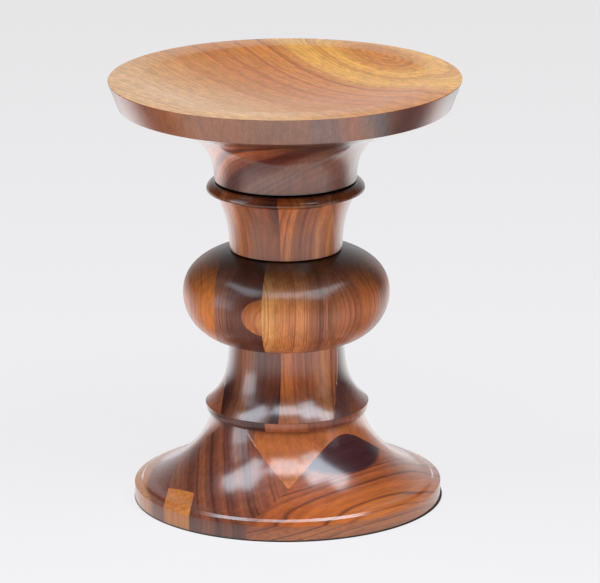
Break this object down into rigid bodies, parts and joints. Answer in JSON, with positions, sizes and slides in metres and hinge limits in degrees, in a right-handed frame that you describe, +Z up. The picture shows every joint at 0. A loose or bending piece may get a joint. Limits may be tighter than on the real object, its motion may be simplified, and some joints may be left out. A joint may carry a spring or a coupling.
{
  "type": "turned stool",
  "caption": "Turned walnut stool: round dished seat on a stacked pedestal of cove, ringed neck, bulge, flared neck, collar and wide foot.",
  "frame": {"origin": "middle of the foot's underside, on the floor", "axes": "+Z up along the turning axis; +X square to the glue seams of the necks and the bulge, to the right as the picture shows them; -Y towards the viewer"},
  "size_m": [0.324, 0.324, 0.398],
  "materials": {
    "walnut_seat": "satin lacquered walnut, plain sawn, honey with dark streaks",
    "walnut_honey": "semi-gloss lacquered walnut, light golden brown",
    "walnut_orange": "semi-gloss lacquered walnut, orange brown with dark streaks",
    "walnut_brown": "semi-gloss lacquered walnut, reddish brown",
    "walnut_dark": "semi-gloss lacquered walnut, dark purple brown",
    "walnut_sapwood": "semi-gloss lacquered walnut, pale sapwood",
    "tenon_wood": "unfinished straight-grained hardwood"
  },
  "bodies": {
    "root": {"foot_core_front": "walnut_orange", "foot_core_middle": "walnut_brown", "foot_core_back": "walnut_brown", "foot_board_front": "walnut_orange", "foot_board_left": "walnut_brown", "foot_board_right": "walnut_orange", "foot_board_back": "walnut_brown", "foot_sapwood_block": "walnut_sapwood", "foot_end_block": "walnut_dark", "collar_left": "walnut_dark", "collar_middle": "walnut_orange", "collar_middle_right": "walnut_brown", "collar_right": "walnut_dark", "lower_neck_left": "walnut_brown", "lower_neck_middle_left": "walnut_dark", "lower_neck_middle_right": "walnut_orange", "lower_neck_right": "walnut_dark", "bulge_left": "walnut_orange", "bulge_middle_left": "walnut_dark", "bulge_cap": "walnut_sapwood", "bulge_middle_right": "walnut_honey", "bulge_right": "walnut_brown", "upper_neck_left": "walnut_brown", "upper_neck_middle": "walnut_orange", "upper_neck_right": "walnut_brown", "seat_cove": "walnut_brown", "seat_disc": "walnut_seat", "foot_tenon": "tenon_wood", "bulge_lower_tenon": "tenon_wood", "bulge_upper_tenon": "tenon_wood", "cove_tenon": "tenon_wood", "seat_tenon": "tenon_wood"}
  },
  "joints": []
}
